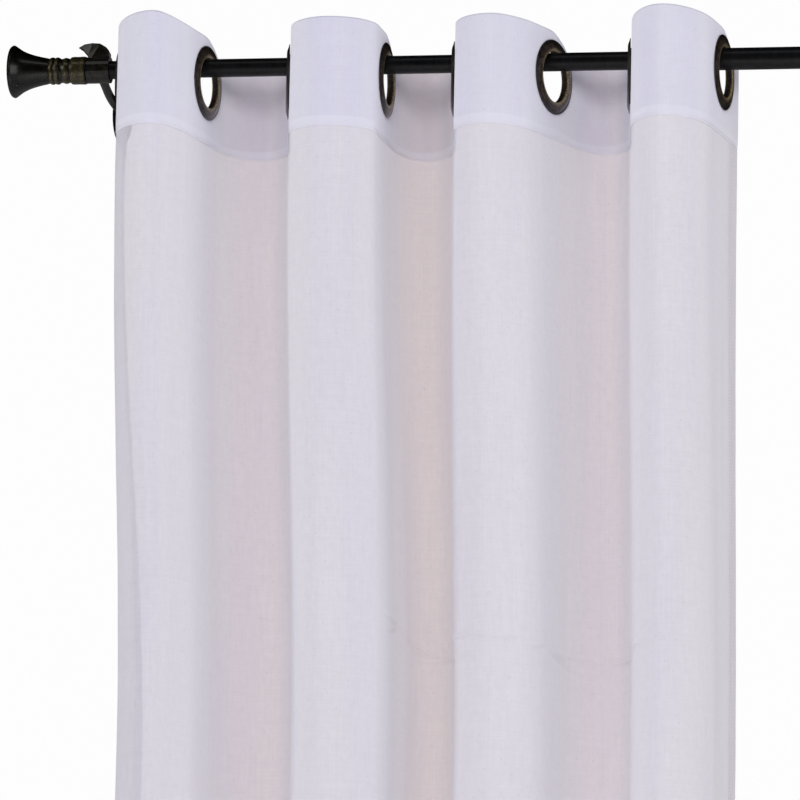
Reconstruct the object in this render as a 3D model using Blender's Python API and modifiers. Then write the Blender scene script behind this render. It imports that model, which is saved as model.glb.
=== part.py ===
"""A sheer voile eyelet panel, gathered in four front folds on a telescoping rod.

Metres, Z up. X runs to the right along the rod and Y runs back to the wall, which is the
plane Y = 0. The origin is the middle of the back face of the left wall plate.
"""

import math
from collections import namedtuple

import bmesh
import bpy
from mathutils import Matrix, Vector

GAP = 0.0003  # between pieces that touch

# Rod: a thin tube that slides into a thick one
THIN_RADIUS = 0.00794
THICK_RADIUS = 0.00953
TUBE_WALL = 0.0009
ROD_OUT = 0.098  # axis in front of the wall
ROD_UP = 0.017  # axis above the middle of the wall plates
BRACKET_SPAN = 0.762
THICK_START = 0.506  # where the thick tube begins, inside the fourth fold
TUBE_OVERLAP = 0.110
ROUND_STEPS = 24

# Brackets
PLATE_WIDTH = 0.018
PLATE_HEIGHT = 0.056
PLATE_THICKNESS = 0.004
COLLAR_WALL = 0.0032
COLLAR_WIDTH = 0.020
ARM_RADIUS = 0.0040
SCREW_SPREAD = 0.0190  # from the plate's middle to each wall screw
SCREW_RADIUS = 0.0020
SCREW_HEAD_RADIUS = 0.0040
SCREW_HEAD_HEIGHT = 0.0022

# The arm's route from the wall plate up to the collar
ArmPoint = namedtuple("ArmPoint", "out up")
ARM_ROUTE = (
    ArmPoint(0.0015, 0.000),
    ArmPoint(0.030, 0.0005),
    ArmPoint(0.058, 0.0035),
    ArmPoint(0.079, 0.0105),
    ArmPoint(ROD_OUT, ROD_UP - 0.0020),
)

# The leaf's outline from its tip over its back and round under it. along runs to the finial
# from the middle of the collar, and up starts at the collar's outside.
LeafPoint = namedtuple("LeafPoint", "along up half_width")
LEAF = (
    LeafPoint(0.0192, 0.0088, 0.0012),
    LeafPoint(0.0130, 0.0112, 0.0042),
    LeafPoint(0.0060, 0.0118, 0.0058),
    LeafPoint(-0.0010, 0.0112, 0.0062),
    LeafPoint(-0.0062, 0.0082, 0.0060),
    LeafPoint(-0.0090, 0.0033, 0.0056),
    LeafPoint(-0.0090, -0.0030, 0.0060),
    LeafPoint(0.0080, -0.0030, 0.0060),
    LeafPoint(0.0102, 0.0006, 0.0050),
    LeafPoint(0.0145, 0.0056, 0.0032),
)

# Finials, with their turned outline on the thin tube from the flared end to the mouth
SOCKET_DEPTH = 0.022
Turning = namedtuple("Turning", "radius height")
TRUMPET = (
    Turning(0.0000, 0.0685),
    Turning(0.0140, 0.0674),
    Turning(0.0215, 0.0653),
    Turning(0.0228, 0.0636),
    Turning(0.0190, 0.0599),
    Turning(0.0155, 0.0539),
    Turning(0.0130, 0.0453),
    Turning(0.0114, 0.0361),
    Turning(0.0106, 0.0329),
)
RINGS_AND_SLEEVE = (
    Turning(0.0118, 0.0313),
    Turning(0.0118, 0.0243),
    Turning(0.0104, 0.0227),
    Turning(0.0114, 0.0189),
    Turning(0.0104, 0.0151),
    Turning(0.0120, 0.0135),
    Turning(0.0122, 0.0011),
    Turning(0.0115, 0.0000),
)

# Eyelets, each a pair of domed flanges on a short neck
EYELET_OUTER = 0.0325
EYELET_INNER = 0.02175
EYELET_NECK = 0.0240
EYELET_DOME = 0.0036  # from the middle of the cloth to the top of a flange
EYELET_HOLE = 0.0246  # the hole in the cloth

# Cloth
HEADING_THICKNESS = 0.0016
HEADING_HEIGHT = 0.094
HEADING_ABOVE = 0.0405  # top edge above the middle of the eyelets
VOILE_THICKNESS = 0.0012
FINISHED_LENGTH = 2.134
EDGE_REACH = 0.052  # from an end eyelet to the side edge, along the cloth
EYELET_FLAT = 0.034  # half the flat stretch that an eyelet holds
LOW_FLAT = 0.024
HEM_FLAT = 0.014
LOW_DROP = 0.54  # below the heading's seam, where the low columns hold
CREST_STEPS = 5  # in each half of a fold's crest

# One row for each eyelet, from the left. x is its place along the rod. A slant is the cloth's
# angle in degrees from straight back, positive where it runs to the right towards the wall.
# The low and hem columns say how far the same line of the cloth has moved, and its slant.
# sink is how far the heading's top edge has flopped down at the back of the flat stretch.
Eyelet = namedtuple("Eyelet", "x slant low_shift low_slant hem_shift hem_slant sink")
EYELETS = (
    Eyelet(0.0200, -8, 0.024, 0, 0.014, -4, 0.004),
    Eyelet(0.0955, 9, 0.014, 8, 0.018, 14, 0.022),
    Eyelet(0.1696, -11, 0.017, -9, 0.019, -8, 0.010),
    Eyelet(0.2530, 2, 0.016, 5, 0.011, 12, 0.023),
    Eyelet(0.3141, -9, 0.013, -8, 0.017, -15, 0.006),
    Eyelet(0.3984, 20, 0.010, 12, 0.009, 8, 0.024),
    Eyelet(0.4667, -8, 0.010, -8, 0.013, -13, 0.010),
    Eyelet(0.5449, 8, 0.007, 6, 0.010, 10, 0.022),
)

# The columns of a flat stretch from its eyelet's middle to its back, as shares of that half,
# with the share of the sink that the top edge has reached there. It clears the eyelet.
Flop = namedtuple("Flop", "along sunk")
FLOPS = (Flop(0, 0), Flop(0.35, 0.22), Flop(0.68, 0.49))

# One row for each fold between two eyelets, front and back by turns. shift is the crest's
# place from midway between its eyelets. The depths run from the rod's axis to the crest, at
# the top edge and at the seam. round is 0.55 for an arc and more for a squarer crest. sink
# is how far the top edge has flopped down at the crest.
Fold = namedtuple("Fold", "shift top_depth seam_depth round low_shift hem_shift sink")
FOLDS = (
    Fold(0.010, 0.093, 0.087, 0.55, -0.003, -0.004, -0.003),
    Fold(0.000, 0.070, 0.073, 0.58, 0.000, 0.004, 0.011),
    Fold(-0.001, 0.071, 0.066, 0.56, -0.002, -0.006, 0),
    Fold(-0.006, 0.081, 0.086, 0.57, -0.001, 0.003, 0.012),
    Fold(0.001, 0.071, 0.066, 0.56, 0.002, 0.006, 0.000),
    Fold(-0.003, 0.067, 0.071, 0.58, 0.001, -0.004, 0.011),
    Fold(-0.002, 0.092, 0.086, 0.55, -0.002, 0.003, 0),
)


def clear_scene():
    """Removes the start-up objects."""
    for obj in list(bpy.data.objects):
        bpy.data.objects.remove(obj, do_unlink=True)


def new_collection(name):
    collection = bpy.data.collections.new(name)
    bpy.context.scene.collection.children.link(collection)
    return collection


def new_material(name, colour, roughness, metallic):
    """A Principled material of one colour."""
    material = bpy.data.materials.new(name)
    material.use_nodes = True
    shader = material.node_tree.nodes["Principled BSDF"]
    shader.inputs["Base Color"].default_value = (*colour, 1)
    shader.inputs["Roughness"].default_value = roughness
    shader.inputs["Metallic"].default_value = metallic
    return material


def add_object(name, mesh, collection, material=None, parent=None):
    obj = bpy.data.objects.new(name, mesh)
    collection.objects.link(obj)
    if material:
        mesh.materials.append(material)
    obj.parent = parent
    return obj


def helper(obj):
    """Marks a cutter, or a shape that is joined into a part."""
    obj.hide_render = True
    obj.display_type = "WIRE"
    return obj


def made_mesh(obj):
    """A mesh of obj with its modifiers applied and its loose caps welded."""
    bpy.context.view_layer.update()
    evaluated = obj.evaluated_get(bpy.context.evaluated_depsgraph_get())
    mesh = bpy.data.meshes.new_from_object(evaluated)
    shape = bmesh.new()
    shape.from_mesh(mesh)
    bmesh.ops.remove_doubles(shape, verts=shape.verts, dist=1e-6)
    shape.to_mesh(mesh)
    shape.free()
    return mesh


def smooth(mesh, angle=35):
    mesh.shade_smooth()
    mesh.set_sharp_from_angle(angle=math.radians(angle))


def turned_mesh(name, profile, steps=ROUND_STEPS, closed=False):
    """Turns (radius, height) points about Z. Down the outer side, they run top to bottom."""
    count = len(profile)
    edges = [(i, i + 1) for i in range(count - 1)]
    if closed:
        edges.append((count - 1, 0))
    mesh = bpy.data.meshes.new(name)
    mesh.from_pydata([(radius, 0, height) for radius, height in profile], edges, [])
    obj = bpy.data.objects.new(name, mesh)
    bpy.context.scene.collection.objects.link(obj)
    screw = obj.modifiers.new("turn", "SCREW")
    screw.steps = screw.render_steps = steps
    screw.use_merge_vertices = True
    screw.merge_threshold = 1e-5
    turned = made_mesh(obj)
    bpy.data.objects.remove(obj, do_unlink=True)
    smooth(turned)
    return turned


def bore_radius(radius):
    """The radius of a faceted bore whose flats clear a rod of this radius."""
    return (radius + GAP) / math.cos(math.pi / ROUND_STEPS)


def cylinder_mesh(name, radius, length, steps=ROUND_STEPS):
    """A cylinder about Z, centred."""
    shape = bmesh.new()
    bmesh.ops.create_cone(
        shape, cap_ends=True, segments=steps, radius1=radius, radius2=radius, depth=length
    )
    mesh = bpy.data.meshes.new(name)
    shape.to_mesh(mesh)
    shape.free()
    return mesh


def rod_radius_at(x):
    return THICK_RADIUS if x > THICK_START else THIN_RADIUS


def eyelet_drop(x):
    """How far an eyelet's middle hangs below the rod's axis, with its neck on the rod."""
    inner_flat = EYELET_INNER * math.cos(math.pi / ROUND_STEPS)
    return inner_flat - rod_radius_at(x) - GAP


def heading_middle():
    """Height of the eyelets on the thin tube, which sets the heading's height."""
    return ROD_UP - eyelet_drop(0)


def ease(share):
    return share * share * (3 - 2 * share)


def at_drop(drop, seam, low, hem):
    """A value that goes from seam to low to hem with the drop below the seam."""
    if drop <= LOW_DROP:
        return seam + (low - seam) * ease(max(drop, 0) / LOW_DROP)
    panel_drop = FINISHED_LENGTH - HEADING_HEIGHT
    return low + (hem - low) * ease((drop - LOW_DROP) / (panel_drop - LOW_DROP))


def bezier(start, first, second, end, share):
    rest = 1 - share
    return (
        start * rest**3
        + first * 3 * rest**2 * share
        + second * 3 * rest * share**2
        + end * share**3
    )


def half_crest(start, direction, crest, roundness):
    """Points from a side of a fold to its crest, without the first."""
    along = (crest.y - start.y) / direction.y
    corner = start + direction * along
    first = start.lerp(corner, roundness)
    second = crest.lerp(corner, roundness)
    return [
        bezier(start, first, second, crest, step / CREST_STEPS)
        for step in range(1, CREST_STEPS + 1)
    ]


def fold_points(sides, index, depth, crest_shift):
    """Points of one fold from the end of one flat stretch to the start of the next."""
    (_, start, out), (end, _, back) = sides[index], sides[index + 1]
    towards_wall = 1 if index % 2 else -1
    middle = (start.x + end.x) / 2
    crest = Vector((middle + crest_shift, towards_wall * depth - ROD_OUT))
    roundness = FOLDS[index].round
    rising = half_crest(start, out, crest, roundness)
    falling = half_crest(end, -back, crest, roundness)
    return [start, *rising, *falling[-2::-1], end]


def cloth_sides(drop):
    """For each eyelet's line, its flat stretch's start and end and the way the cloth runs."""
    flat = at_drop(drop, EYELET_FLAT, LOW_FLAT, HEM_FLAT)
    sides = []
    for index, row in enumerate(EYELETS):
        slant = math.radians(at_drop(drop, row.slant, row.low_slant, row.hem_slant))
        x = row.x + at_drop(drop, 0, row.low_shift, row.hem_shift)
        middle = Vector((x, -ROD_OUT))
        towards_wall = 1 if index % 2 else -1
        run = Vector((math.sin(slant), math.cos(slant))) * towards_wall
        sides.append((middle - run * flat, middle + run * flat, run))
    return sides


def length_of(points):
    return sum((b - a).length for a, b in zip(points, points[1:]))


def stretch_length(sides, index, depth, crest_shift):
    """Cloth length from one eyelet's line to the next."""
    flats = [(start - end).length / 2 for start, end, _ in sides[index : index + 2]]
    return length_of(fold_points(sides, index, depth, crest_shift)) + sum(flats)


def depth_that_keeps(sides, index, crest_shift, length):
    """The fold's depth for which the cloth between its eyelets' lines keeps its length."""
    shallow, deep = 0.03, 0.15
    for _ in range(24):
        depth = (shallow + deep) / 2
        if stretch_length(sides, index, depth, crest_shift) < length:
            shallow = depth
        else:
            deep = depth
    return depth


def section(height_above_seam):
    """The cloth's path in plan, from its left edge to its right edge."""
    drop = -height_above_seam
    sides = cloth_sides(drop)
    seam_sides = cloth_sides(0)
    first_start, _, first_run = sides[0]
    _, last_end, last_run = sides[-1]
    flat = (sides[0][1] - sides[0][0]).length / 2
    points = [first_start - first_run * (EDGE_REACH - flat), first_start, *flop_points(sides, 0)]
    for index, row in enumerate(FOLDS):
        shift = row.shift + at_drop(drop, 0, row.low_shift, row.hem_shift)
        if drop > 0:
            length = stretch_length(seam_sides, index, row.seam_depth, row.shift)
            depth = depth_that_keeps(sides, index, shift, length)
        else:
            share = height_above_seam / HEADING_HEIGHT
            depth = row.seam_depth + (row.top_depth - row.seam_depth) * share
        points.extend(fold_points(sides, index, depth, shift))
        points.extend(flop_points(sides, index + 1))
    points.extend([last_end, last_end + last_run * (EDGE_REACH - flat)])
    return points


def flop_points(sides, index):
    """The columns inside an eyelet's flat stretch, in the order of the cloth's path."""
    start, end, _ = sides[index]
    runs_back = index % 2
    points = [((start + end) / 2).lerp(end if runs_back else start, flop.along) for flop in FLOPS]
    return points if runs_back else points[::-1]


def stretch_sinks(index):
    """How far the top edge has sunk along an eyelet's flat stretch, ends and all."""
    row = EYELETS[index]
    front_to_back = [0, *(flop.sunk * row.sink for flop in FLOPS), row.sink]
    return front_to_back if index % 2 else front_to_back[::-1]


def top_sinks():
    """How far the heading's top edge has sunk at each point of its path."""
    sinks = [EYELETS[0].sink, *stretch_sinks(0)]
    for index, row in enumerate(FOLDS):
        before, after = sinks[-1], stretch_sinks(index + 1)
        steps = [ease(step / CREST_STEPS) for step in range(1, CREST_STEPS + 1)]
        rising = [before + (row.sink - before) * step for step in steps]
        falling = [after[0] + (row.sink - after[0]) * step for step in steps]
        sinks += [*rising, *falling[-2::-1], *after]
    return [*sinks, EYELETS[-1].sink]


def level_row(height_above_seam, seam):
    """The cloth's path at one height, as corners of a sheet."""
    return [(p.x, p.y, seam + height_above_seam) for p in section(height_above_seam)]


def hung_sheet(name, rows, collection, material, thickness, parent):
    """A sheet of cloth through these rows of corners, from its top edge down."""
    across = len(rows[0])
    corners = [point for row in rows for point in row]
    faces = [
        (low + column, low + column + 1, low - across + column + 1, low - across + column)
        for low in range(across, across * len(rows), across)
        for column in range(across - 1)
    ]
    mesh = bpy.data.meshes.new(name)
    mesh.from_pydata(corners, [], faces)
    mesh.shade_smooth()
    sheet = add_object(name, mesh, collection, material, parent)
    shell = sheet.modifiers.new("cloth", "SOLIDIFY")
    shell.thickness = thickness
    shell.offset = 0
    shell.use_even_offset = True
    return sheet


def eyelet_turn(row):
    """Rotation that puts local Z square to the cloth at this eyelet."""
    return math.pi / 2, 0, math.pi / 2 - math.radians(row.slant)


def eyelet_place(row):
    return row.x, -ROD_OUT, ROD_UP - eyelet_drop(row.x)


def make_heading(collection, cutters, parent):
    """The folded heading band, with a hole at each eyelet."""
    top = heading_middle() + HEADING_ABOVE
    seam = top - HEADING_HEIGHT
    material = new_material("heading cloth", (0.68, 0.66, 0.74), 0.85, 0)
    edge = [
        (x, y, z - sink)
        for (x, y, z), sink in zip(level_row(HEADING_HEIGHT, seam), top_sinks())
    ]
    rows = [edge, level_row(GAP / 2, seam)]
    band = hung_sheet("heading_band", rows, collection, material, HEADING_THICKNESS, parent)
    for number, row in enumerate(EYELETS, 1):
        mesh = cylinder_mesh(f"hole_{number}", EYELET_HOLE, 0.016)
        cutter = helper(add_object(f"hole_{number}", mesh, cutters))
        cutter.location = eyelet_place(row)
        cutter.rotation_euler = eyelet_turn(row)
    holes = band.modifiers.new("holes", "BOOLEAN")
    holes.operation = "DIFFERENCE"
    holes.operand_type = "COLLECTION"
    holes.collection = cutters
    return seam


def make_panel(collection, seam, parent):
    """The voile below the heading's seam, down to its hem."""
    drop = FINISHED_LENGTH - HEADING_HEIGHT
    shares = (0, 0.06, 0.15, 0.265, 0.4, 0.55, 0.7, 0.85, 1)
    rows = [level_row(-GAP / 2 - (drop - GAP / 2) * share, seam) for share in shares]
    material = new_material("voile", (0.66, 0.64, 0.71), 0.9, 0)
    hung_sheet("voile_panel", rows, collection, material, VOILE_THICKNESS, parent)


def eyelet_profile():
    """A closed section: two domed flanges with a slot between them for the heading."""
    slot = HEADING_THICKNESS / 2 + GAP
    flange = (
        (EYELET_INNER + 0.0006, EYELET_DOME - 0.0010),
        (EYELET_INNER + 0.0042, EYELET_DOME),
        (EYELET_OUTER - 0.0020, EYELET_DOME - 0.0018),
        (EYELET_OUTER, slot + 0.0004),
        (EYELET_NECK, slot),
    )
    mirrored = [(radius, -height) for radius, height in reversed(flange)]
    return [*flange, *mirrored]


def make_eyelets(collection, parent):
    mesh = turned_mesh("eyelet", eyelet_profile(), closed=True)
    mesh.materials.append(new_material("antique bronze", (0.11, 0.085, 0.05), 0.35, 1))
    for number, row in enumerate(EYELETS, 1):
        eyelet = add_object(f"eyelet_{number}", mesh, collection, parent=parent)
        eyelet.location = eyelet_place(row)
        eyelet.rotation_euler = eyelet_turn(row)


def tube(name, radius, start, end, collection, material, parent):
    """One tube of the rod, from start to end along X."""
    inner = radius - TUBE_WALL
    length = end - start
    profile = ((radius, length), (radius, 0), (inner, 0), (inner, length))
    mesh = turned_mesh(name, profile, closed=True)
    obj = add_object(name, mesh, collection, material, parent)
    obj.location = (start, -ROD_OUT, ROD_UP)
    obj.rotation_euler = (0, math.pi / 2, 0)


def make_rod(collection, parent):
    material = new_material("blackened rod", (0.012, 0.011, 0.012), 0.35, 0.6)
    reach = COLLAR_WIDTH / 2 + SOCKET_DEPTH
    thin_end = THICK_START + TUBE_OVERLAP
    tube("rod_thin_tube", THIN_RADIUS, -reach, thin_end, collection, material, parent)
    tube(
        "rod_thick_tube", THICK_RADIUS, THICK_START, BRACKET_SPAN + reach, collection,
        material, parent,
    )


def finial_profile(rod_radius):
    """From the flared end down to the mouth that slips over the rod, then up its socket."""
    bore = bore_radius(rod_radius)
    grow = rod_radius - THIN_RADIUS
    socket = ((bore, 0), (bore, SOCKET_DEPTH), (0, SOCKET_DEPTH))
    turned = [
        (turning.radius + grow if turning.radius else 0, turning.height)
        for turning in (*TRUMPET, *RINGS_AND_SLEEVE)
    ]
    return [*turned, *socket]


def make_finials(collection, parent):
    material = new_material("bronze finial", (0.035, 0.030, 0.022), 0.3, 0.9)
    for side, x, radius, turn in (
        ("left", 0, THIN_RADIUS, -1),
        ("right", BRACKET_SPAN, THICK_RADIUS, 1),
    ):
        mesh = turned_mesh(f"{side}_finial", finial_profile(radius))
        finial = add_object(f"{side}_finial", mesh, collection, material, parent)
        finial.location = (x + turn * (COLLAR_WIDTH / 2 + GAP), -ROD_OUT, ROD_UP)
        finial.rotation_euler = (0, turn * math.pi / 2, 0)


def arm_mesh():
    """The round arm from the wall plate up to the collar, as a welded mesh."""
    curve = bpy.data.curves.new("arm", "CURVE")
    curve.dimensions = "3D"
    curve.bevel_depth = ARM_RADIUS
    curve.bevel_resolution = 2
    curve.resolution_u = 3
    curve.use_fill_caps = True
    spline = curve.splines.new("NURBS")
    spline.points.add(len(ARM_ROUTE) - 1)
    for point, place in zip(spline.points, ARM_ROUTE):
        point.co = (0, -place.out, place.up, 1)
    spline.use_endpoint_u = True
    spline.order_u = 3
    obj = bpy.data.objects.new("arm", curve)
    bpy.context.scene.collection.objects.link(obj)
    mesh = made_mesh(obj)
    bpy.data.objects.remove(obj, do_unlink=True)
    return mesh


def leaf_mesh(collar_radius, turn):
    """The cast leaf that curls over the collar and points along the rod to the finial."""
    shape = bmesh.new()
    near, far = (
        [shape.verts.new((turn * p.along, way * p.half_width, collar_radius + p.up)) for p in LEAF]
        for way in (-1, 1)
    )
    shape.faces.new(near)
    shape.faces.new(far[::-1])
    for i in range(len(near)):
        j = (i + 1) % len(near)
        shape.faces.new((near[j], near[i], far[i], far[j]))
    bmesh.ops.recalc_face_normals(shape, faces=shape.faces)
    rims = [
        edge for edge in shape.edges
        if (edge.verts[0] in near) == (edge.verts[1] in near)
        and max(v.co.z for v in edge.verts) > collar_radius
    ]
    bmesh.ops.bevel(
        shape, geom=rims, offset=0.0014, segments=2, profile=0.6, affect="EDGES",
        clamp_overlap=True,
    )
    bmesh.ops.triangulate(shape, faces=shape.faces)
    mesh = bpy.data.meshes.new("leaf")
    shape.to_mesh(mesh)
    shape.free()
    return mesh


def joined(part, other, operation):
    boolean = part.modifiers.new(other.name, "BOOLEAN")
    boolean.operation = operation
    boolean.object = other


def make_bracket(side, x, rod_radius, turn, collection, helpers, material, parent):
    """An oval wall plate, an arm and a collar round the rod with a leaf on top, cast in one."""
    bore = bore_radius(rod_radius)
    collar = bore + COLLAR_WALL
    mesh = cylinder_mesh(f"{side}_bracket", PLATE_HEIGHT / 2, PLATE_THICKNESS, 32)
    mesh.transform(Matrix.Scale(PLATE_WIDTH / PLATE_HEIGHT, 4, (1, 0, 0)))
    bracket = add_object(f"{side}_bracket", mesh, collection, material, parent)
    bracket.location = (x, -PLATE_THICKNESS / 2, 0)
    bracket.rotation_euler = (math.pi / 2, 0, 0)
    along_rod = (0, math.pi / 2, 0)
    axis = (x, -ROD_OUT, ROD_UP)
    holes = [
        ((x, -PLATE_THICKNESS / 2, way * SCREW_SPREAD), (math.pi / 2, 0, 0))
        for way in (-1, 1)
    ]
    pieces = [
        ("arm", arm_mesh(), (x, 0, 0), (0, 0, 0), "UNION"),
        ("collar", cylinder_mesh("collar", collar, COLLAR_WIDTH), axis, along_rod, "UNION"),
        ("leaf", leaf_mesh(collar, turn), axis, (0, 0, 0), "UNION"),
        ("bore", cylinder_mesh("bore", bore, COLLAR_WIDTH + 0.01), axis, along_rod, "DIFFERENCE"),
    ]
    pieces += [
        (f"screw_hole_{number}", cylinder_mesh("hole", SCREW_RADIUS + 2 * GAP, 0.02, 12),
         place, turn_to, "DIFFERENCE")
        for number, (place, turn_to) in enumerate(holes)
    ]
    for name, shape, place, turn_to, operation in pieces:
        other = helper(add_object(f"{side}_{name}", shape, helpers))
        other.location = place
        other.rotation_euler = turn_to
        joined(bracket, other, operation)


def make_brackets(collection, helpers, parent):
    material = new_material("bronze bracket", (0.03, 0.026, 0.022), 0.35, 0.8)
    for side, x, radius, turn in (
        ("left", 0, THIN_RADIUS, -1),
        ("right", BRACKET_SPAN, THICK_RADIUS, 1),
    ):
        make_bracket(side, x, radius, turn, collection, helpers, material, parent)


def make_wall_screws(collection, parent):
    """Round-headed screws through the plates, cut off at the wall."""
    face = PLATE_THICKNESS + GAP
    profile = (
        (0, face + SCREW_HEAD_HEIGHT),
        (SCREW_HEAD_RADIUS * 0.6, face + SCREW_HEAD_HEIGHT * 0.8),
        (SCREW_HEAD_RADIUS, face + SCREW_HEAD_HEIGHT * 0.2),
        (SCREW_HEAD_RADIUS, face),
        (SCREW_RADIUS, face),
        (SCREW_RADIUS, 0),
        (0, 0),
    )
    mesh = turned_mesh("wall_screw", profile, steps=12)
    mesh.materials.append(new_material("wall screw", (0.05, 0.045, 0.04), 0.4, 0.9))
    for side, x in (("left", 0), ("right", BRACKET_SPAN)):
        for place, way in (("lower", -1), ("upper", 1)):
            screw = add_object(f"{side}_{place}_wall_screw", mesh, collection, parent=parent)
            screw.location = (x, 0, way * SCREW_SPREAD)
            screw.rotation_euler = (math.pi / 2, 0, 0)


def main():
    clear_scene()
    curtain = new_collection("voile_eyelet_curtain")
    hole_cutters = new_collection("eyelet_hole_cutters")
    helpers = new_collection("bracket_shapes")
    frame = bpy.data.objects.new("wall_frame", None)
    curtain.objects.link(frame)
    seam = make_heading(curtain, hole_cutters, frame)
    make_panel(curtain, seam, frame)
    make_eyelets(curtain, frame)
    make_rod(curtain, frame)
    make_finials(curtain, frame)
    make_brackets(curtain, helpers, frame)
    make_wall_screws(curtain, frame)


main()
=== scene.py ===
import math
from collections import namedtuple

import bmesh
import bpy
from mathutils import Matrix, Vector, noise


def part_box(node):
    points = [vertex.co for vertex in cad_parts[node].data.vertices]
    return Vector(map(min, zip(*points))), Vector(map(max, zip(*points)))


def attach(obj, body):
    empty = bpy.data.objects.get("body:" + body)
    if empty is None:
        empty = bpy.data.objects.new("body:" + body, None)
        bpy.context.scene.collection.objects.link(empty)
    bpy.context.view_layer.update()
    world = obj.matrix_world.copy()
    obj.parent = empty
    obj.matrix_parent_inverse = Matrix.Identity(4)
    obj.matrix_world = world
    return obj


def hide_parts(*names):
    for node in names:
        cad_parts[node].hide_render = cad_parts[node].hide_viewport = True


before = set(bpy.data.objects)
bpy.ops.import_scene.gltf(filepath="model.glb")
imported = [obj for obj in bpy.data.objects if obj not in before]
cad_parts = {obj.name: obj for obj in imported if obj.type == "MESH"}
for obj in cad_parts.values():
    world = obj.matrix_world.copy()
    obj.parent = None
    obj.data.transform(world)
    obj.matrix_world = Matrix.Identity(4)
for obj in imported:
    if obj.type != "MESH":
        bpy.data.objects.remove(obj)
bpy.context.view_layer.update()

# Metres, Z up; X runs along the rod and Y back to the wall. The camera comes first.
view = {
    "aim": (0.272, -0.098, -0.276), "distance": 5.0, "yaw": 10.2, "pitch": 9.8, "roll": 1.3,
    "lens": 263.9,
}


def makeCamera(settings):
    yaw, pitch, roll = (math.radians(settings[name]) for name in ("yaw", "pitch", "roll"))
    ahead = Vector((-math.sin(yaw) * math.cos(pitch), math.cos(yaw) * math.cos(pitch),
                    math.sin(pitch)))
    right = Vector((math.cos(yaw), math.sin(yaw), 0))
    up = right.cross(ahead)
    sideways = right * math.cos(roll) + up * math.sin(roll)
    upwards = up * math.cos(roll) - right * math.sin(roll)
    data = bpy.data.cameras.new("photoCamera")
    data.lens = settings["lens"]
    data.sensor_width = 36
    camera = bpy.data.objects.new("photoCamera", data)
    bpy.context.scene.collection.objects.link(camera)
    turn = Matrix((sideways, upwards, -ahead)).transposed().to_4x4()
    place = Vector(settings["aim"]) - ahead * settings["distance"]
    camera.matrix_world = Matrix.Translation(place) @ turn
    bpy.context.scene.camera = camera


makeCamera(view)
print("camera made")


# Materials
def newMaterial(name, **constants):  # a Principled material with plain values on its sockets
    material = bpy.data.materials.new(name)
    material.use_nodes = True
    shader = material.node_tree.nodes["Principled BSDF"]
    for socket, value in constants.items():
        shader.inputs[socket.replace("_", " ")].default_value = value
    return material, material.node_tree, shader


def addNode(tree, kind, inputs=None, **settings):
    node = tree.nodes.new(kind)
    for name, value in settings.items():
        setattr(node, name, value)
    for socket, value in (inputs or {}).items():
        if isinstance(value, bpy.types.NodeSocket):
            tree.links.new(value, node.inputs[socket])
        else:
            node.inputs[socket].default_value = value
    return node


def stretched(tree, source, scale):  # coordinates scaled differently along each axis
    return addNode(tree, "ShaderNodeMapping", {"Vector": source, "Scale": scale}).outputs[0]


def noiseOf(tree, vector, detail=3, roughness=0.55):
    inputs = {"Vector": vector, "Scale": 1, "Detail": detail, "Roughness": roughness}
    return addNode(tree, "ShaderNodeTexNoise", inputs).outputs["Fac"]


def remap(tree, value, low, high, outLow=0.0, outHigh=1.0):
    inputs = {"Value": value, "From Min": low, "From Max": high, "To Min": outLow,
              "To Max": outHigh}
    return addNode(tree, "ShaderNodeMapRange", inputs).outputs[0]


def maths(tree, operation, first, second):
    return addNode(tree, "ShaderNodeMath", {0: first, 1: second}, operation=operation).outputs[0]


def blendColour(tree, amount, first, second, mode="MIX"):
    node = addNode(tree, "ShaderNodeMix", {0: amount, 6: first, 7: second}, data_type="RGBA",
                   blend_type=mode)
    return node.outputs[2]


# The two warm tints are painted warm bounce light from the wall, lifting the shade of the folds
# near it
voileLook = {
    "pale": (0.905, 0.882, 0.940, 1), "deep": (0.785, 0.763, 0.822, 1),
    "paintedWarmBounce": (1.045, 0.995, 0.955, 1), "paintedBeigeBounce": (1.045, 0.975, 0.90, 1), "alpha": 0.66,
    "threads": 1150, "paintedBeigeBounceFold": 0.69, "cool": (0.972, 0.965, 1.0, 1),
    "speck": (0.42, 0.40, 0.44, 1),
}
# The two warm tints are painted warm bounce light and shade from the wall on the folds near it
headingLook = {
    "pale": (0.810, 0.802, 0.892, 1), "deep": (0.745, 0.737, 0.820, 1),
    "paintedWarmBounce": (0.98, 0.94, 0.91, 1), "paintedBeigeBounce": (0.95, 0.89, 0.84, 1), "alpha": 0.975,
    # the top fold colour is painted shade along the folded top edge
    "paintedTopFoldShade": (0.78, 0.77, 0.80, 1), "underfold": (0.88, 0.87, 0.95, 1),
    "threads": 1150, "paintedBeigeBounceFold": 0.69, "cool": (0.972, 0.965, 1.0, 1),
    "speck": (0.42, 0.40, 0.44, 1),
}


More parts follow.
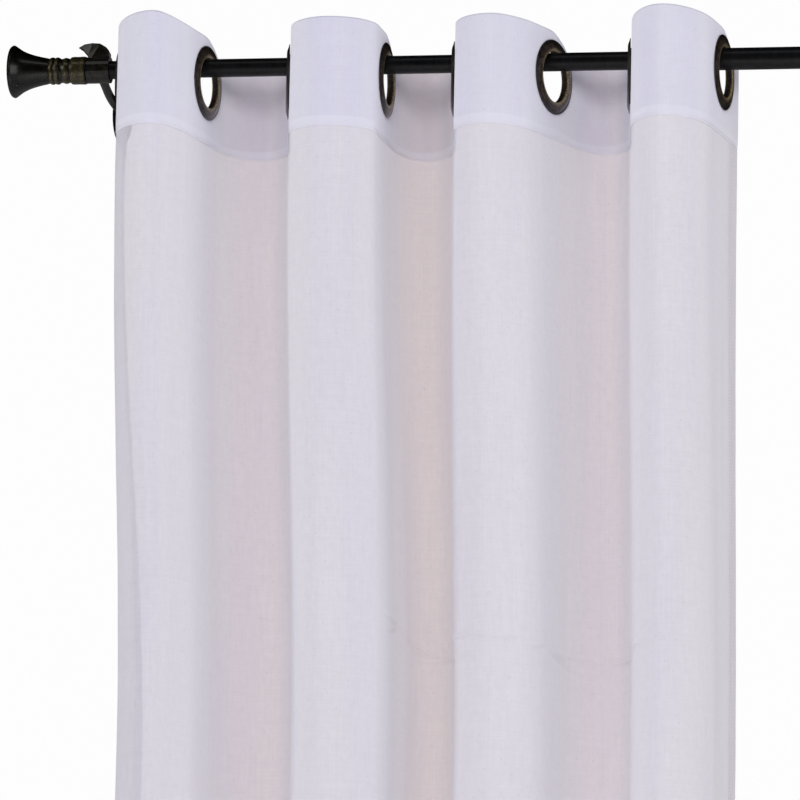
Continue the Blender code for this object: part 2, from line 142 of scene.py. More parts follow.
def clothMaterial(name, look):
    material, tree, shader = newMaterial(
        name, Roughness=0.9, Diffuse_Roughness=1.0, Specular_IOR_Level=0.08, Sheen_Weight=0.8,
        Sheen_Roughness=0.5, Sheen_Tint=(0.92, 0.90, 1.0, 1), Alpha=look["alpha"],
    )
    cloth = addNode(tree, "ShaderNodeUVMap", uv_map="clothMetres").outputs[0]
    parts = addNode(tree, "ShaderNodeSeparateXYZ", {0: cloth})
    across, down = parts.outputs[0], parts.outputs[1]
    threads = look["threads"] * 2 * math.pi  # woven threads, as fine waves across and down
    warp = maths(tree, "SINE", maths(tree, "MULTIPLY", across, threads), 0)
    weft = maths(tree, "SINE", maths(tree, "MULTIPLY", down, threads), 0)
    weave = maths(tree, "MULTIPLY", warp, weft)
    slubDown = noiseOf(tree, stretched(tree, cloth, (760, 16, 1)), 4)
    slubAcross = noiseOf(tree, stretched(tree, cloth, (18, 700, 1)), 4)
    clouds = noiseOf(tree, stretched(tree, cloth, (9, 2.2, 1)), 3)
    slubs = maths(tree, "ADD", slubDown, slubAcross)
    mottle = noiseOf(tree, stretched(tree, cloth, (170, 120, 1)), 4)
    soft = maths(tree, "ADD", remap(tree, clouds, 0.3, 0.7, 0, 0.25),
                 remap(tree, mottle, 0.3, 0.7, 0, 0.32))
    tone = maths(tree, "ADD", remap(tree, slubs, 0.72, 1.28, 0, 0.43), soft)
    colour = blendColour(tree, tone, look["deep"], look["pale"])
    cool = remap(tree, noiseOf(tree, stretched(tree, cloth, (22, 1.6, 1)), 2), 0.42, 0.62)
    colour = blendColour(tree, cool, colour,
                         blendColour(tree, 1, colour, look["cool"], "MULTIPLY"))
    specks = noiseOf(tree, stretched(tree, cloth, (520, 380, 1)), 2, 0.4)
    colour = blendColour(tree, remap(tree, specks, 0.66, 0.78, 0, 0.35), colour,
                         look["speck"])
    point = addNode(tree, "ShaderNodeTexCoord").outputs["Object"]
    depth = addNode(tree, "ShaderNodeSeparateXYZ", {0: point}).outputs[1]
    paintedBounceShare = remap(tree, depth, -0.098, -0.035)  # painted warm bounce light and shade from the wall on the folds near it
    # one back fold gets a beiger painted bounce light from the wall
    fromBounceFold = maths(tree, "ABSOLUTE", maths(tree, "SUBTRACT", across, look["paintedBeigeBounceFold"]), 0)
    bounceTint = blendColour(tree, remap(tree, fromBounceFold, 0.05, 0.11), look["paintedBeigeBounce"], look["paintedWarmBounce"])
    colour = blendColour(tree, paintedBounceShare, colour, blendColour(tree, 1, colour, bounceTint, "MULTIPLY"))
    if "strip" in look:  # the turned-under edge is one layer denser; painted shade darkens the top fold
        # painted shade within the top 1.6 mm of the heading
        top = remap(tree, down, 0.0002, 0.0016)
        shaded = blendColour(tree, 1, colour, look["paintedTopFoldShade"], "MULTIPLY")
        colour = blendColour(tree, top, shaded, colour)
        mask = remap(tree, down, look["strip"] - 0.0006, look["strip"] + 0.0006)
        colour = blendColour(tree, maths(tree, "MULTIPLY", mask, 0.35), colour,
                             look["underfold"])
    tree.links.new(colour, shader.inputs["Base Color"])
    height = maths(tree, "ADD", maths(tree, "MULTIPLY", weave, 0.12), slubs)
    bump = addNode(tree, "ShaderNodeBump", {"Strength": 0.15, "Distance": 0.0003,
                                            "Height": height})
    tree.links.new(bump.outputs[0], shader.inputs["Normal"])
    return material


bronzeLook = {"dark": (0.005, 0.005, 0.004, 1), "brown": (0.022, 0.018, 0.011, 1),
              "gold": (0.20, 0.16, 0.055, 1), "metallic": 0.7}


def bronzeMaterial(name, look, roughness, gold=1.0):  # aged bronze, rubbed bright on high edges
    material, tree, shader = newMaterial(name, Metallic=look["metallic"],
                                         Specular_IOR_Level=0.5, Coat_Weight=0.6,
                                         Coat_Roughness=0.24)
    point = addNode(tree, "ShaderNodeTexCoord").outputs["Object"]
    patina = noiseOf(tree, stretched(tree, point, (260, 260, 260)), 6, 0.65)
    flecks = noiseOf(tree, stretched(tree, point, (900, 900, 900)), 4, 0.7)
    rubbed = addNode(tree, "ShaderNodeAttribute", attribute_name="rub").outputs["Fac"]
    browned = maths(tree, "MULTIPLY", remap(tree, patina, 0.38, 0.62),
                    remap(tree, rubbed, 0.0, 0.25, 0.2, 1.0))
    aged = blendColour(tree, browned, look["dark"], look["brown"])
    worn = maths(tree, "MULTIPLY", remap(tree, rubbed, 0.3, 1.0),
                 remap(tree, flecks, 0.42, 0.60, 0.10, gold))
    colour = blendColour(tree, worn, aged, look["gold"])
    tree.links.new(colour, shader.inputs["Base Color"])
    tree.links.new(remap(tree, patina, 0.3, 0.7, roughness - 0.08, roughness + 0.12),
                   shader.inputs["Roughness"])
    bump = addNode(tree, "ShaderNodeBump", {"Strength": 0.25, "Distance": 0.0003,
                                            "Height": patina})
    tree.links.new(bump.outputs[0], shader.inputs["Normal"])
    return material


rodLook = {"dark": (0.0025, 0.0028, 0.003, 1), "worn": (0.006, 0.006, 0.007, 1)}
threadLook = {"shade": (0.70, 0.69, 0.76, 1), "light": (0.88, 0.87, 0.92, 1)}

def rodMaterial():
    material, tree, shader = newMaterial("blackenedTube", Metallic=0.0, Specular_IOR_Level=0.3)
    point = addNode(tree, "ShaderNodeTexCoord").outputs["Object"]
    grain = noiseOf(tree, stretched(tree, point, (420, 420, 420)), 4, 0.6)
    streaks = noiseOf(tree, stretched(tree, point, (14, 300, 300)), 3, 0.5)
    colour = blendColour(tree, remap(tree, streaks, 0.35, 0.7), rodLook["dark"],
                         rodLook["worn"])
    tree.links.new(colour, shader.inputs["Base Color"])
    tree.links.new(remap(tree, grain, 0.3, 0.7, 0.26, 0.40), shader.inputs["Roughness"])
    bump = addNode(tree, "ShaderNodeBump", {"Strength": 0.12, "Distance": 0.0002,
                                            "Height": grain})
    tree.links.new(bump.outputs[0], shader.inputs["Normal"])
    return material


def threadMaterial():
    material, tree, shader = newMaterial("sewingThread", Roughness=0.7, Sheen_Weight=0.3)
    point = addNode(tree, "ShaderNodeTexCoord").outputs["Object"]
    ply = noiseOf(tree, stretched(tree, point, (1500, 1500, 1500)), 2)
    colour = blendColour(tree, ply, threadLook["shade"], threadLook["light"])
    tree.links.new(colour, shader.inputs["Base Color"])
    return material


# The cloth's path in plan, the same as the solids', in finer steps
rod = {"out": 0.098, "up": 0.017, "thin": 0.00794, "thick": 0.00953, "thickStart": 0.506,
       "span": 0.762, "overlap": 0.110, "reach": 0.032, "wall": 0.0009, "lip": 0.0005}
fabric = {"above": 0.0405, "heading": 0.094, "length": 2.134, "edge": 0.052, "lowDrop": 0.54,
          "flat": 0.034, "lowFlat": 0.024, "hemFlat": 0.014, "sideHem": 0.025,
          "bottomHem": 0.075, "layer": 0.0007, "strip": 0.0085, "tuck": 0.004}
ring = {"middle": 0.003676, "lastMiddle": 0.005266, "hole": 0.0312}

# Eyelets: place on the rod, turns in degrees and shifts lower down, how far the top edge sinks
EyeletRow = namedtuple("EyeletRow", "x slant lowShift lowSlant hemShift hemSlant sink")
eyeletRows = (
    EyeletRow(0.0200, -8, 0.024, 0, 0.014, -4, 0.004),
    EyeletRow(0.0955, 9, 0.014, 8, 0.018, 14, 0.022),
    EyeletRow(0.1696, -11, 0.017, -9, 0.019, -8, 0.010),
    EyeletRow(0.2530, 2, 0.016, 5, 0.011, 12, 0.023),
    EyeletRow(0.3141, -9, 0.013, -8, 0.017, -15, 0.006),
    EyeletRow(0.3984, 20, 0.010, 12, 0.009, 8, 0.024),
    EyeletRow(0.4667, -8, 0.010, -8, 0.013, -13, 0.010),
    EyeletRow(0.5449, 8, 0.007, 6, 0.010, 10, 0.022),
)
FoldRow = namedtuple("FoldRow", "shift topDepth seamDepth round lowShift hemShift sink")
foldRows = (
    FoldRow(0.010, 0.093, 0.087, 0.55, -0.003, -0.004, -0.003),
    FoldRow(0.000, 0.070, 0.073, 0.58, 0.000, 0.004, 0.011),
    FoldRow(-0.001, 0.071, 0.066, 0.56, -0.002, -0.006, 0),
    FoldRow(-0.006, 0.081, 0.086, 0.57, -0.001, 0.003, 0.012),
    FoldRow(0.001, 0.071, 0.066, 0.56, 0.002, 0.006, 0.000),
    FoldRow(-0.003, 0.067, 0.071, 0.58, 0.001, -0.004, 0.011),
    FoldRow(-0.002, 0.092, 0.086, 0.55, -0.002, 0.003, 0),
)
flopStations = ((0, 0), (0.35, 0.22), (0.68, 0.49), (1, 1))  # along the back half, sunk share
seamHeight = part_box("heading_band")[0].z
panelDrop = fabric["length"] - fabric["heading"]


def ease(share):
    return share * share * (3 - 2 * share)


def atDrop(drop, seam, low, hem):
    if drop <= fabric["lowDrop"]:
        return seam + (low - seam) * ease(max(drop, 0) / fabric["lowDrop"])
    return low + (hem - low) * ease((drop - fabric["lowDrop"]) / (panelDrop - fabric["lowDrop"]))


def bezier(start, first, second, end, t):
    s = 1 - t
    return start * s**3 + first * 3 * s * s * t + second * 3 * s * t * t + end * t**3


def halfCrest(start, direction, crest, roundness, steps):
    corner = start + direction * ((crest.y - start.y) / direction.y)
    first, second = start.lerp(corner, roundness), crest.lerp(corner, roundness)
    return [bezier(start, first, second, crest, step / steps) for step in range(steps + 1)]


def clothSides(drop):
    flat = atDrop(drop, fabric["flat"], fabric["lowFlat"], fabric["hemFlat"])
    sides = []
    for index, row in enumerate(eyeletRows):
        slant = math.radians(atDrop(drop, row.slant, row.lowSlant, row.hemSlant))
        middle = Vector((row.x + atDrop(drop, 0, row.lowShift, row.hemShift), -rod["out"]))
        run = Vector((math.sin(slant), math.cos(slant))) * (1 if index % 2 else -1)
        sides.append((middle, middle - run * flat, middle + run * flat, run))
    return sides


def crestOf(sides, index, depth, shift):
    middle = (sides[index][2].x + sides[index + 1][1].x) / 2
    return Vector((middle + shift, (1 if index % 2 else -1) * depth - rod["out"]))


def lengthOf(points):
    return sum((b - a).length for a, b in zip(points, points[1:]))


def stretchLength(sides, index, depth, shift):
    crest, roundness = crestOf(sides, index, depth, shift), foldRows[index].round
    _, _, start, out = sides[index]
    _, end, _, back = sides[index + 1]
    halves = (halfCrest(start, out, crest, roundness, 5),
              halfCrest(end, -back, crest, roundness, 5))
    flats = sum((side[1] - side[2]).length / 2 for side in sides[index:index + 2])
    return sum(map(lengthOf, halves)) + flats


seamSides = clothSides(0)
foldLengths = [stretchLength(seamSides, i, row.seamDepth, row.shift)
               for i, row in enumerate(foldRows)]


def depthAt(sides, index, drop, shift):  # each fold keeps its cloth lower down
    row = foldRows[index]
    if drop <= 0:
        return row.seamDepth + (row.topDepth - row.seamDepth) * -drop / fabric["heading"]
    shallow, deep = 0.03, 0.15
    for _ in range(18):
        depth = (shallow + deep) / 2
        if stretchLength(sides, index, depth, shift) < foldLengths[index]:
            shallow = depth
        else:
            deep = depth
    return depth


def sunkShare(along):
    for (near, low), (far, high) in zip(flopStations, flopStations[1:]):
        if along <= far:
            return low + (high - low) * (along - near) / (far - near)
    return 1


def flatHalf(start, end, sinkStart, sinkEnd, steps=8):  # points with the top edge's sinking
    points = []
    for step in range(steps + 1):
        share = step / steps
        if sinkStart > sinkEnd:
            sunk = sinkStart * sunkShare(1 - share)
        else:
            sunk = sinkEnd * sunkShare(share)
        points.append(Vector((*start.lerp(end, share), sunk)))
    return points


def pathSegments(drop, steps=18):  # edge, seven stretches between eyelets, edge
    sides = clothSides(drop)
    flat = (sides[0][1] - sides[0][0]).length
    first, last = sides[0], sides[-1]
    edgeStart = first[1] - first[3] * (fabric["edge"] - flat)
    sink = eyeletRows[0].sink
    segments = [[Vector((*edgeStart, sink)), *flatHalf(first[1], first[0], sink, 0)]]
    for index, row in enumerate(foldRows):
        shift = row.shift + atDrop(drop, 0, row.lowShift, row.hemShift)
        crest = crestOf(sides, index, depthAt(sides, index, drop, shift), shift)
        here, there = sides[index], sides[index + 1]
        backHere = eyeletRows[index].sink if index % 2 else 0
        backThere = 0 if index % 2 == 0 else eyeletRows[index + 1].sink
        rising = halfCrest(here[2], here[3], crest, row.round, steps)
        falling = halfCrest(there[1], -there[3], crest, row.round, steps)
        blend = [ease(step / steps) for step in range(steps + 1)]
        up = [Vector((*p, backHere + (row.sink - backHere) * b)) for p, b in zip(rising, blend)]
        down = [Vector((*p, backThere + (row.sink - backThere) * b))
                for p, b in zip(falling, blend)]
        segments.append([*flatHalf(here[0], here[2], 0, backHere), *up[1:], *down[-2::-1],
                         *flatHalf(there[1], there[0], backThere, 0)[1:]])
    edgeEnd = last[2] + last[3] * (fabric["edge"] - flat)
    sink = eyeletRows[-1].sink
    segments.append([*flatHalf(last[0], last[2], 0, sink), Vector((*edgeEnd, sink))])
    return segments


def evenly(points, count):  # count + 1 points at equal steps along a line
    runs = [0]
    for a, b in zip(points, points[1:]):
        runs.append(runs[-1] + (b.xy - a.xy).length)
    found, index = [], 0
    for step in range(count + 1):
        target = runs[-1] * step / count
        while index < len(points) - 2 and runs[index + 1] < target:
            index += 1
        share = (target - runs[index]) / max(runs[index + 1] - runs[index], 1e-9)
        found.append(points[index].lerp(points[index + 1], min(share, 1)))
    return found


grid = {"edge": 12, "fold": 40, "headingRows": 24, "panelStep": 0.0102, "fineStep": 0.0017}


def clothRow(drop):  # points and the way each faces, from the left edge to the right
    row = []
    for index, segment in enumerate(pathSegments(drop)):
        count = grid["edge"] if index in (0, len(foldRows) + 1) else grid["fold"]
        row.extend(evenly(segment, count)[0 if index == 0 else 1:])
    for _ in range(2):  # softens the sinking's corners
        sinks = [p.z for p in row]
        for i in range(1, len(row) - 1):
            row[i].z = (sinks[i - 1] + sinks[i] * 2 + sinks[i + 1]) / 4
    faces = []
    for i in range(len(row)):
        run = row[min(i + 1, len(row) - 1)].xy - row[max(i - 1, 0)].xy
        faces.append(Vector((run.y, -run.x)).normalized())
    return row, faces


seamPath = clothRow(0)[0]
across = [0.0]  # distance along the cloth of each column
for before, after in zip(seamPath, seamPath[1:]):
    across.append(across[-1] + (after.xy - before.xy).length)
eyeletMiddles = [Vector((row.x, -rod["out"], ring["middle"])) for row in eyeletRows]
eyeletMiddles[-1].z = ring["lastMiddle"]
topHeight = ring["middle"] + fabric["above"]

# Broad creases: where along the cloth, drop at its middle, half lengths, depth
Crease = namedtuple("Crease", "along drop wide tall depth lean")
creases = (
    Crease(0.098, 0.55, 0.010, 0.60, 0.0016, 0.02),
    Crease(0.175, 0.80, 0.016, 0.70, -0.0022, -0.03),
    Crease(0.300, 0.45, 0.020, 0.40, -0.0018, 0.03),
    Crease(0.352, 1.20, 0.018, 0.60, 0.0030, -0.02),
    Crease(0.478, 0.60, 0.012, 0.55, 0.0015, 0.02),
    Crease(0.560, 1.40, 0.020, 0.55, -0.0030, 0.03),
    Crease(0.652, 0.40, 0.014, 0.36, 0.0020, -0.02),
    Crease(0.735, 0.90, 0.018, 0.70, -0.0026, 0.02),
    Crease(0.842, 0.50, 0.015, 0.46, 0.0018, 0.03),
    Crease(0.930, 1.30, 0.020, 0.65, 0.0030, -0.03),
    Crease(1.010, 0.55, 0.014, 0.50, -0.0020, 0.02),
    Crease(1.120, 0.90, 0.020, 0.75, 0.0024, -0.02),
    Crease(1.215, 0.45, 0.014, 0.40, -0.0016, 0.02),
    Crease(1.300, 1.30, 0.018, 0.60, 0.0028, 0.03),
)
# Fine pressed wrinkles that run across the folds
wrinkles = (
    Crease(0.610, 0.413, 0.026, 0.0022, 0.0020, 0.08),
    Crease(0.622, 0.424, 0.018, 0.0020, -0.0015, -0.15),
    Crease(0.700, 0.436, 0.050, 0.0021, -0.0022, 0.20),
    Crease(0.880, 0.437, 0.060, 0.0022, 0.0024, 0.03),
    Crease(0.930, 0.447, 0.026, 0.0020, -0.0018, -0.30),
    Crease(1.060, 0.444, 0.085, 0.0021, 0.0022, 0.02),
    Crease(0.992, 0.450, 0.030, 0.0020, -0.0018, 0.22),
    Crease(1.095, 0.437, 0.020, 0.0020, 0.0015, -0.35),
    Crease(1.185, 0.443, 0.045, 0.0022, 0.0017, 0.00),
)


def bell(value):
    return math.exp(-value * value)


def rippleAt(along, drop):  # how far the cloth stands proud of its smooth fold
    grown = ease(min(max(drop / 0.30, 0), 1))
    push = 0.0012 * grown * noise.noise(Vector((along / 0.050, drop / 0.75, 3.7)))
    push += 0.0005 * grown * noise.noise(Vector((along / 0.019, drop / 0.45, 9.1)))
    push += 0.00018 * noise.noise(Vector((along / 0.009, drop / 0.05, 5.3)))
    for row in creases:
        side = (along - row.along - row.lean * (drop - row.drop)) / row.wide
        if abs(side) < 2.5:
            push += row.depth * grown * bell(side) * bell((drop - row.drop) / row.tall)
    for row in wrinkles:
        side = (along - row.along) / row.wide
        height = (drop - row.drop - row.lean * (along - row.along)) / row.tall
        if abs(side) < 2.2 and abs(height) < 2.5:
            push += row.depth * bell(side) * bell(height)
    return push


def addMesh(name, points, faces, material, sharp=40):
    mesh = bpy.data.meshes.new(name)
    mesh.from_pydata(points, [], faces)
    mesh.materials.append(material)
    mesh.shade_smooth()
    mesh.set_sharp_from_angle(angle=math.radians(sharp))
    piece = bpy.data.objects.new(name, mesh)
    bpy.context.scene.collection.objects.link(piece)
    return piece


def sheetPiece(name, rows, order, sideHem, material):
    # rows hold (point, facing, cloth place); order lists (row, layer) from one end of the cloth
    last = len(rows[0]) - 1
    columns = [(i, 1) for i in range(sideHem, -1, -1)] + [(i, 0) for i in range(last + 1)]
    columns += [(i, 1) for i in range(last, last - sideHem - 1, -1)]
    points, places = [], []
    for line, rowLayer in order:
        for column, columnLayer in columns:
            point, facing, place = rows[line][column]
            back = facing * ((rowLayer + columnLayer) * fabric["layer"])
            points.append((point.x - back.x, point.y - back.y, point.z))
            places.append(place)
    wide = len(columns)
    faces = [(i + j + 1, i + j, i + j + wide, i + j + wide + 1)
             for i in range(0, wide * (len(order) - 1), wide) for j in range(wide - 1)]
    piece = addMesh(name, points, faces, material)
    layer = piece.data.uv_layers.new(name="clothMetres")
    for loop in piece.data.loops:
        layer.data[loop.index].uv = places[loop.vertex_index]
    return piece


def headingRows():
    rows = []
    for j in range(grid["headingRows"] + 1):
        share = j / grid["headingRows"]
        path, faces = clothRow((share - 1) * fabric["heading"])
        row = []
        for i, (point, facing) in enumerate(zip(path, faces)):
            edge = topHeight - point.z
            height = edge + (seamHeight - edge) * share
            row.append((Vector((point.x, point.y, height)), facing,
                        (across[i], share * fabric["heading"])))
        rows.append(row)
    return rows


def makeHeading():
    rows = headingRows()
    last = grid["headingRows"]
    for j, row in enumerate(rows):  # the front layer comes close to the panel at the seam
        lift = 0.0005 - 0.0004 * max(j + 2 - last, 0) / 2
        for i, (point, facing, place) in enumerate(row):
            row[i] = (point + Vector((facing.x, facing.y, 0)) * lift, facing, place)
    order = [(last - 2, 1), (last - 1, 1), (last, 1), (last, 2)]
    order += [(j, 2) for j in range(last - 1, -1, -1)] + [(j, 0) for j in range(last + 1)]
    look = {**headingLook, "strip": fabric["heading"] - fabric["strip"]}
    piece = sheetPiece("headingCloth", rows, order, 0, clothMaterial("doubledVoile", look))
    cutEyeletHoles(piece, ring["hole"])
    return piece, rows


def cutEyeletHoles(piece, radius):  # the cut edges lie between each eyelet's two flanges
    mesh = piece.data
    inside = [any((v.co - middle).length < radius for middle in eyeletMiddles)
              for v in mesh.vertices]
    shape = bmesh.new()
    shape.from_mesh(mesh)
    shape.faces.ensure_lookup_table()
    gone = [f for f in shape.faces if all(inside[v.index] for v in f.verts)]
    bmesh.ops.delete(shape, geom=gone, context="FACES")
    shape.to_mesh(mesh)
    shape.free()


def panelDrops():  # from between the heading's layers down, finer where wrinkles cross
    drops = [-fabric["tuck"]]
    while drops[-1] < panelDrop - 1.5 * grid["panelStep"]:
        fine = 0.402 < drops[-1] < 0.462
        drops.append(drops[-1] + grid["fineStep" if fine else "panelStep"])
    return [*drops, panelDrop]


def panelRows():
    rows = []
    for drop in panelDrops():
        path, faces = clothRow(max(drop, 0))
        row = []
        for i, (point, facing) in enumerate(zip(path, faces)):
            push = rippleAt(across[i], drop)
            row.append((Vector((point.x + facing.x * push, point.y + facing.y * push,
                                seamHeight - drop)), facing, (across[i], drop)))
        rows.append(row)
    return rows


def makePanel():
    rows = panelRows()
    last = len(rows) - 1
    hemRows = sum(row[0][2][1] > panelDrop - fabric["bottomHem"] for row in rows[:-1])
    order = [(j, 0) for j in range(last + 1)]
    order += [(j, 1) for j in range(last, last - hemRows - 1, -1)]
    sideHem = round(fabric["sideHem"] / (fabric["edge"] / grid["edge"]))
    piece = sheetPiece("voileCloth", rows, order, sideHem, clothMaterial("voile", voileLook))
    return piece, rows, hemRows, sideHem


headingCloth, headingGrid = makeHeading()
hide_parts("heading_band")
print("heading made")
voileCloth, panelGrid, hemRows, sideHem = makePanel()
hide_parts("voile_panel")
print("voile made")


# Stitches: small spindles of thread that lie on the cloth
stitch = {"pitch": 0.0030, "long": 0.0023, "radius": 0.00019, "proud": 0.00012,
          "inset": 0.0022}


def stitchLine(name, line, away, material):  # line holds points with the way the cloth faces
    points, faces = [], []
    travelled, due = 0.0, stitch["pitch"] / 2
    for (a, facing, _), (b, _, _) in zip(line, line[1:]):
        step = (b - a).length
        while due <= travelled + step and step > 0:
            run = (b - a) / step
            out = Vector((facing.x, facing.y, 0)) * (1 if away > 0 else -1)
            middle = a + run * (due - travelled) + out * (abs(away) + stitch["proud"])
            side = run.cross(out).normalized()
            base = len(points)
            points.append(middle - run * stitch["long"] / 2 - out * stitch["proud"])
            for place in (-0.28, 0.28):
                for turn in range(4):
                    angle = turn * math.pi / 2
                    ringPoint = side * math.cos(angle) + out * math.sin(angle)
                    points.append(middle + run * stitch["long"] * place
                                  + ringPoint * stitch["radius"])
            points.append(middle + run * stitch["long"] / 2 - out * stitch["proud"])
            for turn in range(4):
                after = (turn + 1) % 4
                faces += [(base, base + 1 + after, base + 1 + turn),
                          (base + 1 + turn, base + 1 + after, base + 5 + after, base + 5 + turn),
                          (base + 5 + turn, base + 5 + after, base + 9)]
            due += stitch["pitch"]
        travelled += step
    return addMesh(name, points, faces, material, 60)


def rowBetween(rows, place):  # a line of the cloth between two of its rows
    low = int(place)
    share = place - low
    return [(a[0].lerp(b[0], share), a[1], a[2]) for a, b in zip(rows[low], rows[low + 1])]


thread = threadMaterial()
seamPlace = grid["headingRows"] * (1 - stitch["inset"] / fabric["heading"])
seamLine = rowBetween(headingGrid, seamPlace)
hemLine = rowBetween(panelGrid, len(panelGrid) - 1 - hemRows + 0.25)
leftLine = [row[sideHem - 1] for row in panelGrid]
rightLine = [row[len(row) - sideHem] for row in panelGrid]
stitches = [
    stitchLine("headingSeamStitches", seamLine, 0.00002, thread),
    stitchLine("headingBackStitches", seamLine, -2 * fabric["layer"], thread),
    stitchLine("bottomHemStitches", hemLine, 0.00002, thread),
    stitchLine("bottomHemBackStitches", hemLine, -fabric["layer"], thread),
    stitchLine("leftHemStitches", leftLine, 0.00002, thread),
    stitchLine("rightHemStitches", rightLine, 0.00002, thread),
]
print("stitches made")


# Turned metal
def smoothLine(points, per=3):  # a soft curve through every point
    line = []
    for i in range(len(points) - 1):
        a, b = points[max(i - 1, 0)], points[i]
        c, d = points[i + 1], points[min(i + 2, len(points) - 1)]
        for step in range(per):
            t = step / per
            line.append(tuple(
                0.5 * (2 * q + (r - p) * t + (2 * p - 5 * q + 4 * r - s) * t * t
                       + (3 * q - p - 3 * r + s) * t**3)
                for p, q, r, s in zip(a, b, c, d)
            ))
    return [*line, tuple(points[-1])]


def turnedPiece(name, profile, steps, material, closed=True):
    # profile holds radius, height and rub, and turns about local Z
    points, rubs = [], []
    for radius, height, rub in profile:
        for step in range(steps):
            angle = 2 * math.pi * step / steps
            points.append((radius * math.cos(angle), radius * math.sin(angle), height))
            rubs.append(min(max(rub, 0), 1))
    rows = len(profile)
    faces = []
    for i in range(rows if closed else rows - 1):
        j = (i + 1) % rows
        for step in range(steps):
            after = (step + 1) % steps
            faces.append((j * steps + step, j * steps + after,
                          i * steps + after, i * steps + step))
    piece = addMesh(name, points, faces, material, 50)
    rubbed = piece.data.attributes.new("rub", "FLOAT", "POINT")
    rubbed.data.foreach_set("value", rubs)
    return piece


flange = (  # radius, height, rub, from the middle of the barrel out over the front flange
    (0.02175, 0.0000, 0.10), (0.02176, 0.0015, 0.15), (0.02192, 0.0025, 0.60),
    (0.02265, 0.0033, 1.00), (0.02420, 0.0036, 0.60), (0.02620, 0.0035, 0.30),
    (0.02840, 0.0029, 0.25), (0.03000, 0.0023, 0.10), (0.03060, 0.0019, 0.00),
    (0.03110, 0.0020, 0.05), (0.03180, 0.0020, 0.20), (0.03230, 0.0017, 0.05),
    (0.03250, 0.0014, 0.00), (0.03215, 0.0012, 0.00), (0.03060, 0.0011, 0.00),
)
eyeletMetal = bronzeMaterial("antiqueBronze", {
    "dark": (0.006, 0.005, 0.004, 1), "brown": (0.100, 0.072, 0.058, 1),
    "gold": (0.75, 0.60, 0.33, 1), "metallic": 0.4}, 0.40)


def makeEyelets():
    pieces = []
    front = smoothLine(flange, 2)
    back = [(radius, -height, rub) for radius, height, rub in front[::-1]]
    neck = [(0.0240, 0.0011, 0), (0.0240, -0.0011, 0)]
    for number, row in enumerate(eyeletRows, 1):
        piece = turnedPiece(f"bronzeEyelet{number}", [*front, *neck, *back[:-1]], 80, eyeletMetal)
        piece.location = eyeletMiddles[number - 1]
        piece.rotation_euler = (math.pi / 2, 0, math.pi / 2 - math.radians(row.slant))
        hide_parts(f"eyelet_{number}")
        pieces.append(piece)
    return pieces


eyelets = makeEyelets()
print("eyelets made")


def alongRod(piece, x, turn):
    piece.location = (x, -rod["out"], rod["up"])
    piece.rotation_euler = (0, turn * math.pi / 2, 0)


def makeTube(name, radius, start, end, material, node):
    inner, long, lip = radius - rod["wall"], end - start, rod["lip"]
    profile = [(inner, lip, 0), (inner + lip / 2, 0, 0), (radius - lip, 0, 0.2),
               (radius, lip, 0.3)]
    profile += [(radius, long * i / 40, 0) for i in range(1, 40)]
    profile += [(radius, long - lip, 0.3), (radius - lip, long, 0.2),
                (inner + lip / 2, long, 0), (inner, long - lip, 0)]
    piece = turnedPiece(name, profile, 64, material)
    alongRod(piece, start, 1)
    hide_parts(node)
    return piece


blackened = rodMaterial()
thinTube = makeTube("thinTube", rod["thin"], -rod["reach"], rod["thickStart"] + rod["overlap"],
                    blackened, "rod_thin_tube")
thickTube = makeTube("thickTube", rod["thick"], rod["thickStart"], rod["span"] + rod["reach"],
                     blackened, "rod_thick_tube")

finial = {"mouth": 0.0103, "socket": 0.022, "gap": 0.0004}
finialLine = (  # radius, height, rub, from the flared end to the mouth over the rod
    (0.0000, 0.0655, 0.0), (0.0060, 0.0658, 0.0), (0.0130, 0.0668, 0.0), (0.0190, 0.0678, 0.1),
    (0.0217, 0.0672, 0.2), (0.0229, 0.0655, 0.3), (0.0229, 0.0648, 0.1), (0.0222, 0.0636, 0.0),
    (0.0205, 0.0612, 0.0), (0.0182, 0.0577, 0.0), (0.0158, 0.0525, 0.0), (0.0140, 0.0470, 0.0),
    (0.0125, 0.0410, 0.0), (0.0116, 0.0365, 0.1), (0.0110, 0.0342, 0.2), (0.0107, 0.0334, 0.0),
    (0.0114, 0.0327, 0.7), (0.0119, 0.0314, 1.0), (0.0118, 0.0299, 0.5), (0.0111, 0.0292, 0.0),
    (0.0113, 0.0284, 0.5), (0.0118, 0.0272, 1.0), (0.0118, 0.0256, 0.6), (0.0110, 0.0243, 0.1),
    (0.0104, 0.0230, 0.0), (0.0107, 0.0212, 0.4), (0.0114, 0.0190, 0.8), (0.0108, 0.0168, 0.4),
    (0.0104, 0.0152, 0.0), (0.0112, 0.0143, 0.4), (0.0119, 0.0134, 0.9), (0.0121, 0.0110, 0.7),
    (0.0120, 0.0080, 0.6), (0.0121, 0.0050, 0.7), (0.0122, 0.0030, 0.8), (0.0119, 0.0012, 0.3),
    (0.0112, 0.0002, 0.0), (0.0100, 0.0000, 0.0),
)
finialMetal = bronzeMaterial("darkBronze", bronzeLook, 0.30, 0.85)


def makeFinial(name, x, radius, turn, node):
    grow = radius - rod["thin"]
    bore = radius + finial["gap"]
    outside = [(max(r + grow, 0) if r else 0, h, rub) for r, h, rub in smoothLine(finialLine, 3)]
    socket = [(bore, finial["gap"], 0), (bore, finial["socket"], 0), (0, finial["socket"], 0)]
    piece = turnedPiece(name, [*outside, *socket], 80, finialMetal, closed=False)
    alongRod(piece, x + turn * finial["mouth"], turn)
    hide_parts(node)
    return piece


finials = [
    makeFinial("leftTrumpetFinial", 0, rod["thin"], -1, "left_finial"),
    makeFinial("rightTrumpetFinial", rod["span"], rod["thick"], 1, "right_finial"),
]
print("rod and finials made")

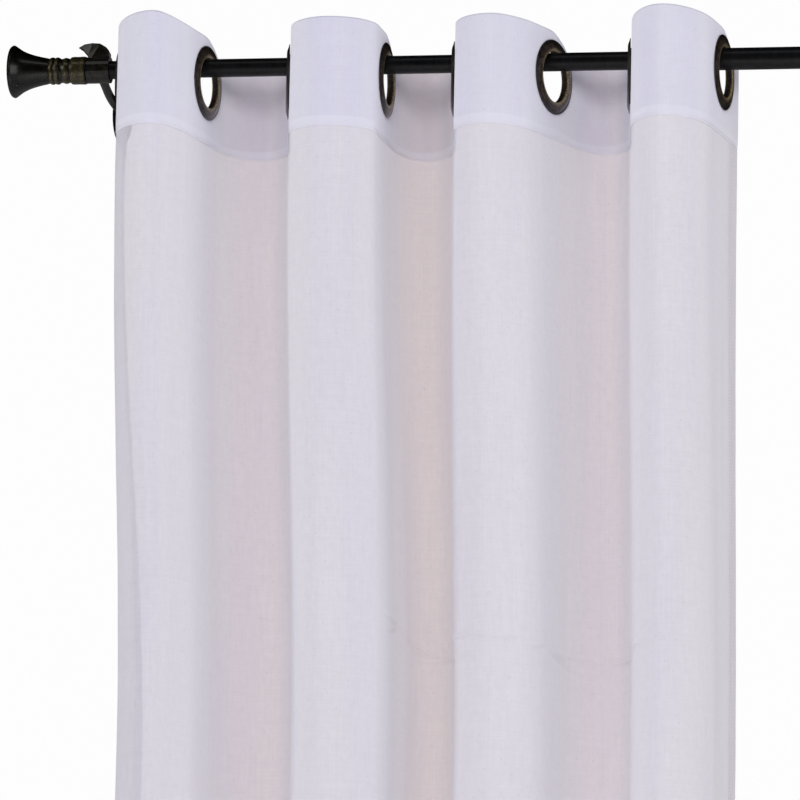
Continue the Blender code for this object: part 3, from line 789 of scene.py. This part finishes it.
# Brackets and screws keep their solids
bracketMetal = bronzeMaterial("bracketBronze", {**bronzeLook, "brown": (0.10, 0.085, 0.05, 1)},
                              0.34, 0.6)
for node in ("left_bracket", "right_bracket", "left_lower_wall_screw", "left_upper_wall_screw",
             "right_lower_wall_screw", "right_upper_wall_screw"):
    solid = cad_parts[node]
    for index in range(max(len(solid.material_slots), 1)):
        if not solid.material_slots:
            solid.data.materials.append(bracketMetal)
        solid.material_slots[index].material = bracketMetal

for piece in (headingCloth, voileCloth, *stitches, *eyelets, thinTube, thickTube, *finials):
    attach(piece, "root")


# Floor and light
studio = {"floor": 12, "floorGap": 0.02, "floorColour": (0.86, 0.86, 0.87, 1), "white": 0.985,
          "through": (0.545, 0.515, 0.550, 1), "ambient": 0.18}

def makeFloor():
    size, height = studio["floor"], seamHeight - panelDrop - studio["floorGap"]
    corners = [(-size, -size, height), (size, -size, height), (size, size, height),
               (-size, size, height)]
    material = newMaterial("paleFloor", Base_Color=studio["floorColour"], Roughness=0.8)[0]
    floor = addMesh("floor", corners, [(0, 1, 2, 3)], material)


def makeLight(name, place, target, size, power, glossy):
    data = bpy.data.lights.new(name, "AREA")
    data.shape, data.size, data.size_y = "RECTANGLE", size[0], size[1]
    data.energy = power
    light = bpy.data.objects.new(name, data)
    light.location = place
    light.rotation_euler = (Vector(target) - Vector(place)).to_track_quat("-Z", "Y").to_euler()
    light.visible_glossy = glossy
    bpy.context.scene.collection.objects.link(light)


makeFloor()
lights = (  # name, place, what it points at, size, watts, seen in reflections
    ("frontFill", (0.85, -4.6, 0.75), (0.27, -0.1, -0.5), (1.6, 1.6), 70, False),
    ("lowFill", (0.6, -3.2, -1.6), (0.27, -0.1, -0.6), (1.8, 1.4), 22, False),
    ("rightFill", (4.1, -2.1, 0.2), (0.27, -0.1, -0.5), (2.0, 2.4), 44, True),
    ("leftFill", (-3.4, -2.3, 0.2), (0.27, -0.1, -0.5), (2.0, 2.4), 19, False),
    ("keySoftbox", (-2.6, -2.6, 1.2), (0.25, -0.1, -0.4), (1.2, 1.6), 14, True),
    ("topStrip", (0.3, -1.5, 2.1), (0.3, -0.1, 0.0), (2.4, 0.35), 4, True),
)
for row in lights:
    makeLight(*row)


def makeWorld(seen, through, ambient):  # white beyond the curtain, softer through and on it
    world = bpy.data.worlds.new("whiteStudio")
    world.use_nodes = True
    tree = world.node_tree
    path = addNode(tree, "ShaderNodeLightPath")
    veiled = maths(tree, "MINIMUM", path.outputs["Transparent Depth"], 1)
    beyond = blendColour(tree, veiled, (seen, seen, seen, 1), through)
    colour = blendColour(tree, path.outputs["Is Camera Ray"], (ambient, ambient, ambient, 1),
                         beyond)
    tree.links.new(colour, tree.nodes["Background"].inputs["Color"])
    world.cycles_visibility.glossy = False
    bpy.context.scene.world = world


makeWorld(studio["white"], studio["through"], studio["ambient"])
bpy.context.scene.view_settings.view_transform = "Standard"

print("scene made")
